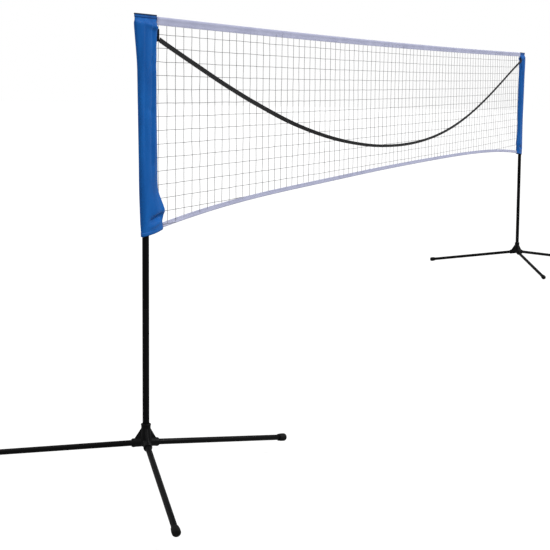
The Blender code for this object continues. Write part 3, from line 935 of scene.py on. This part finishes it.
def add_sleeve(side):
    rings = sleeve_rows(side)
    normals = normals_of(rings)
    name = f"{side}_sleeve"
    sleeve = add_shell(f"{name}_cloth", rings, normals, 0.0, CLOTH, SLEEVE_BLUE, (name,))
    step = (SLEEVE_TOP - SLEEVE_LOW) / SLEEVE_ROWS
    hem, band = round(HEM / step), round(BAND / step)
    for part, rows, inner, outer, surface in (
        ("hem", slice(hem), 1.1, 2.2, SLEEVE_BLUE),
        ("top_band", slice(-band, None), 1.1, 2.2, SLEEVE_BLUE),
        # This thin top strip is dark blue as painted shade along the top edge
        ("top_shade_strip", slice(-2, None), 2.3, 3.4, TOP_SHADE_BLUE),
    ):
        layers = (CLOTH * inner, CLOTH * outer)
        add_shell(f"{name}_{part}", rings[rows], normals[rows], *layers, surface)
    lines = []
    for row in (hem - 2, len(rings) - band + 1, len(rings) - 2):
        line = [(p + n * CLOTH * 2.2, n) for p, n in zip(rings[row], normals[row])]
        lines.append(line + line[:1])
    seam = round(SLEEVE_AROUND * 0.045)
    for k in (seam, SLEEVE_AROUND - seam):
        rows = zip(rings[hem:-band], normals[hem:-band])
        lines.append([(ring[k] + normal[k] * CLOTH, normal[k]) for ring, normal in rows])
    stitches(f"{name}_stitching", lines, BLUE_THREAD, "sleeve_cloth")


for side in SIDES:
    add_sleeve(side)

# The net

TOP_TAPE_WIDTH = 0.028
BOTTOM_TAPE_WIDTH = 0.018
TAPE_STEP = 0.02
TAPE_WALL = 0.0008
TAPE_FLAT = 0.0007  # half thickness between the walls where the tape is sewn flat
TAPE_LENGTH = SPAN - 0.15
FOLD_SHARE = 0.22  # share of a tape's width that its rounded fold takes
SEWN_SHARE = 0.8  # how far down the tape the stitches run
TOP_LEFT = 1.545  # height of the top tape's upper edge at the left
TOP_SAG = 0.011
TOP_CLIMB = 0.004
BOTTOM_LOW = 0.832
BOTTOM_RISE = 0.06
BOTTOM_BEND = 3.6
BOTTOM_DIP = (0.008, 0.27, 0.15)  # depth, place and reach
MESH_WIDE = 0.064
MESH_TALL = 0.046
NET_ROWS = 16
TWINE_RADIUS = 0.0009
TWINE_SIDES = 5
TWINE_DRIFT = 0.0004  # how far a twine strays between two knots
KNOT_RADIUS = 0.0014
CORD_RADIUS = 0.0014
CORD_STEPS = 560
CORD_SIDES = 10


def edge_reach(side, z):
    """How far a sleeve's inner edge is from its post's axis at a height."""
    tall = SLEEVE_TOP - SLEEVE_LOW
    share = (z - SLEEVE_LOW) / tall
    if share < HEM_REACH:
        share = (z - SLEEVE_LOW - HEM_RISE) / (tall - HEM_RISE / HEM_REACH)
    return sleeve_middle(side, share) + sleeve_half_width(share)


def net_ends(z, past=0.0):
    """Where the net starts and ends at a height, reaching this far under the sleeves' edges."""
    return edge_reach("left", z) - past, SPAN - edge_reach("right", z) + past


def net_point(share, y, z):
    """A point of the net at a share of the way between the sleeves."""
    left, right = net_ends(z)
    return ORIGIN + Vector((left + (right - left) * share, y, z))


def top_line(share):
    return TOP_LEFT + TOP_CLIMB * share - TOP_SAG * 4 * share * (1 - share)


def bottom_line(share):
    depth, place, reach = BOTTOM_DIP
    bow = BOTTOM_RISE * (1 - abs(2 * share - 1) ** BOTTOM_BEND)
    return BOTTOM_LOW + bow - depth * gauss(share, place, reach)


def tape_outline(width, bead):
    """Outline of a folded tape, as (place across, distance from the fold) points."""
    fold = width * FOLD_SHARE
    outside, inside = [], []
    for x, y in quarter_turn(8):
        outside.append(((bead + TAPE_WALL) * y, fold * (1 - x)))
        inside.append((bead * y, TAPE_WALL + (fold - TAPE_WALL) * (1 - x)))
    for share in (0.34, 0.46, 0.58, 0.7, 0.82, 0.93):
        half = bead + (TAPE_FLAT - bead) * ease(share, FOLD_SHARE, 0.62)
        outside.append((half + TAPE_WALL, width * share))
        inside.append((half, width * share))
    outside += [(TAPE_FLAT + TAPE_WALL * 0.9, width * 0.985), (TAPE_FLAT + TAPE_WALL * 0.5, width)]
    inside += [(TAPE_FLAT + TAPE_WALL * 0.1, width * 0.985)]
    outline = outside[::-1] + [(-y, h) for y, h in outside[1:]]
    return outline + [(-y, h) for y, h in inside[::-1]] + inside[1:]


def add_tape(node, width, bead, line, sign):
    """A tape folded over an edge of the net, slightly wavy between its ends."""
    outline = tape_outline(width, bead)
    count = round(TAPE_LENGTH / TAPE_STEP)
    rings = []
    seams = {1: [], -1: []}
    for k in range(count + 1):
        share = k / count
        base = line(share)
        ripple = 0.001 * noise.noise(Vector((share * 46, 3.1 * sign, 0.5)))
        swell = 1 + 0.06 * noise.noise(Vector((share * 80, 9.7, sign)))
        ring = []
        for y, h in outline:
            lean = ripple * (h / width) ** 1.3
            ring.append(net_point(share, y * swell + lean, base + sign * h))
        rings.append(ring)
        for face, seam in seams.items():
            y = face * (TAPE_FLAT + TAPE_WALL) * swell + ripple * SEWN_SHARE**1.3
            point = net_point(share, y, base + sign * width * SEWN_SHARE)
            seam.append((point, Vector((0, face, 0))))
    name = f"net_{node}"
    tape = add_loft(name, rings, TAPE, "tape", node)
    lines = list(seams.values())
    sewn = stitches(f"{name}_stitching", lines, PALE_THREAD, "tape", pitch=0.0052, length=0.0036)


def net_lines():
    """The twines' lines and the knots' places, from the left post's foot."""
    left, right = net_ends(TOP_LEFT)
    first = left + 0.012
    columns = int((right - first) / MESH_WIDE) + 1
    offset = {}

    def crossing(i, j):
        """Where upright i meets level row j, with the small drift of a hung net, and its share."""
        x = first + i * MESH_WIDE
        share = (x - first) / (columns * MESH_WIDE)
        z = top_line(share) - 0.012 - MESH_TALL * j
        if (i, j) not in offset:
            drift = [HANDS.uniform(-1, 1) for _ in range(3)]
            offset[i, j] = Vector((drift[0] * 0.0009, drift[1] * 0.0008, drift[2] * 0.0009))
        wave = 0.0035 * noise.noise(Vector((x * 1.3, z * 2.0, 4.0)))
        place = Vector((x, wave, z)) + (offset[i, j] if j else offset[i, j] * 0.2)
        return place, min(1.0, max(0.0, share))

    def lowest(share):
        return bottom_line(share) + 0.004

    strands, knots = [], []
    for i in range(-2, columns + 3):
        line = []
        for j in range(NET_ROWS + 1):
            p, share = crossing(i, j)
            if j and p.z < lowest(share):
                line.append(Vector((p.x, p.y, lowest(share))))
                break
            line.append(p)
        ends = [net_ends(p.z, 0.004) for p in line]
        strands.append([p for p, (left, right) in zip(line, ends) if left < p.x < right])
    for j in range(NET_ROWS):
        line = []
        for i in range(-2, columns + 3):
            p, share = crossing(i, j)
            left, right = net_ends(p.z, 0.002)
            if p.z < lowest(share) - 0.004 or p.x < left or p.x > right:
                strands.append(line)
                line = []
                continue
            if not line and i < 3:
                line.append(Vector((left, p.y, p.z)))
            line.append(p)
            if 0 < j and p.z > lowest(share) + 0.01:
                knots.append(p)
        if len(line) > 1:
            end = line[-1]
            right = net_ends(end.z, 0.002)[1]
            if right - end.x < MESH_WIDE * 1.2:
                line.append(Vector((right, end.y, end.z)))
        strands.append(line)
    return [line for line in strands if len(line) > 1], knots


def add_netting():
    """Open netting: upright and level twines, knotted where they cross."""
    strands, knots = net_lines()
    verts, faces, uvs = [], [], []
    for line in strands:
        fine = []
        for a, b in zip(line, line[1:]):
            stray = Vector([HANDS.uniform(-TWINE_DRIFT, TWINE_DRIFT) for _ in range(3)])
            fine += [a, (a + b) / 2 + stray]
        fine.append(line[-1])
        rings = []
        for p, ahead in zip(fine, headings(fine)):
            a = ahead.cross(Vector((0, 1, 0))).normalized()
            b = ahead.cross(a)
            around = full_turn(TWINE_SIDES)
            rings.append([ORIGIN + p + (a * x + b * y) * TWINE_RADIUS for x, y in around])
        *form, cloth = loft(rings)
        join(verts, faces, *form)
        uvs += cloth
    ball = bmesh.new()
    bmesh.ops.create_icosphere(ball, subdivisions=1, radius=1.0)
    ball_verts = [v.co.copy() for v in ball.verts]
    ball_faces = [tuple(v.index for v in f.verts) for f in ball.faces]
    ball.free()
    for p in knots:
        turn = Matrix.Rotation(HANDS.uniform(0, TAU), 3, "Y")
        size = KNOT_RADIUS * HANDS.uniform(0.9, 1.12)
        knot = [Vector((v.x * 1.15, v.y * 0.95, v.z * 1.15)) for v in ball_verts]
        join(verts, faces, [ORIGIN + p + turn @ v * size for v in knot], ball_faces)
        uvs += [(0.0, 0.0)] * (3 * len(ball_faces))
    add_piece("netting", verts, faces, TWINE, "net_mesh", ("net_panel",), uvs)


def add_top_cord():
    """The laid cord inside the top tape."""
    rings = []
    for k in range(CORD_STEPS + 1):
        share = k / CORD_STEPS
        centre = net_point(share, 0, top_line(share) - 0.0038)
        ring = []
        for n in range(CORD_SIDES):
            turn = TAU * n / CORD_SIDES
            radius = CORD_RADIUS * (0.93 + 0.07 * math.cos(3 * turn + share * 900))
            ring.append(centre + Vector((0, math.cos(turn), math.sin(turn))) * radius)
        rings.append(ring)
    surface = thread("carrying_cord", (0.7, 0.7, 0.68))
    add_loft("tape_cord", rings, surface, "carrying_cord", "top_cord")


add_netting()
add_tape("top_tape", TOP_TAPE_WIDTH, 0.0022, top_line, -1)
add_tape("bottom_tape", BOTTOM_TAPE_WIDTH, 0.0012, bottom_line, 1)
add_top_cord()

TAB_LAYER = 0.0021


def add_strap_tab(side):
    """A folded webbing tab, with the strap's end bar-tacked to it."""
    node = f"{side}_strap_tab"
    low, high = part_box(node)
    centre, half = (low + high) / 2, (high - low) / 2
    inner = half.x - TAB_LAYER

    def fold(radius, steps):
        """Half a turn over the top of the tab."""
        turns = [math.pi * k / 8 for k in steps]
        top = half.z - half.x
        return [(radius * math.cos(turn), top + radius * math.sin(turn)) for turn in turns]

    outline = fold(half.x, range(9))
    outline += [(-half.x, 0), (-half.x, -half.z), (-inner, -half.z), (-inner, 0)]
    outline += fold(inner, range(8, -1, -1))
    outline += [(inner, 0), (inner, -half.z), (half.x, -half.z), (half.x, 0)]
    edge = half.y - 0.0007
    rings = []
    for y, shrink in ((-half.y, 0.92), (-edge, 1.0), (0, 1.0), (edge, 1.0), (half.y, 0.92)):
        wide = [x * shrink if abs(x) > inner else x for x, _ in outline]
        rings.append([centre + Vector((x, y, z)) for x, (_, z) in zip(wide, outline)])
    add_loft(f"{side}_webbing_tab", rings, WEBBING, "strap_webbing", node, 50)
    end = strap_line[0] if side == "left" else strap_line[-1]
    front = end.y - STRAP_THICKNESS / 2 - 0.0001
    rows = []
    for k in range(4):
        x = end.x + INWARD[side] * (0.0008 + 0.0016 * k)
        ends = [Vector((x, front, end.z + lift)) for lift in (0.0052, -0.0052)]
        rows.append([(p, Vector((0, -1, 0))) for p in ends])
    stitches(f"{side}_bar_tack", rows, BLACK_THREAD, "strap_webbing", pitch=0.0017, length=0.0015)


for side in SIDES:
    add_strap_tab(side)

# Floor and light

# A post that is pulled off lets its feet down by 40 mm, and a pulled leg by 5 mm more
FLOOR_DROP = -0.046
FLOOR_REACH = 60
FLOOR_GLOW = 0.86  # seen by the camera only, it brings the floor to the backdrop's white
AMBIENT = 0.4


def add_floor():
    s = Surface("studio_floor", (0.18, 0.18, 0.18), 0.9, Specular_IOR_Level=0.0)
    seen = s.node("LightPath").outputs["Is Camera Ray"]
    glow = s.span(seen, 0.25, FLOOR_GLOW, 0, 1)
    s.set(s.shader, {"Emission Color": (1, 1, 1, 1), "Emission Strength": glow})
    square = [(-1, -1), (1, -1), (1, 1), (-1, 1)]
    verts = [(x * FLOOR_REACH, y * FLOOR_REACH, 0) for x, y in square]
    floor = mesh_object("floor", verts, [(0, 1, 2, 3)])
    floor.data.materials.append(s.material)
    floor.location.z = FLOOR_DROP


def add_light(name, direction, strength, angle):
    """A soft distant light. angle is how wide it looks, in degrees."""
    data = bpy.data.lights.new(name, "SUN")
    data.energy = strength
    data.angle = math.radians(angle)
    link(name, data).rotation_euler = Vector(direction).to_track_quat("-Z", "Y").to_euler()


def add_world():
    """A white backdrop to the camera, which lights the object more dimly."""
    world = bpy.data.worlds.new("studio")
    world.use_nodes = True
    tree = world.node_tree
    tree.nodes.clear()
    ray = tree.nodes.new("ShaderNodeLightPath")
    mix = tree.nodes.new("ShaderNodeMixShader")
    out = tree.nodes.new("ShaderNodeOutputWorld")
    tree.links.new(ray.outputs["Is Camera Ray"], mix.inputs[0])
    tree.links.new(mix.outputs[0], out.inputs[0])
    for side, strength in ((1, AMBIENT), (2, 1.0)):
        white = tree.nodes.new("ShaderNodeBackground")
        white.inputs["Color"].default_value = (1, 1, 1, 1)
        white.inputs["Strength"].default_value = strength
        tree.links.new(white.outputs[0], mix.inputs[side])
    bpy.context.scene.world = world


add_floor()
add_light("key", (-0.25, 0.85, -0.95), 2.8, 24)
add_light("fill", (0.8, 0.15, -0.6), 0.5, 60)
add_light("back", (0.2, -0.85, -0.6), 0.9, 60)
add_world()
bpy.context.scene.view_settings.view_transform = "Standard"
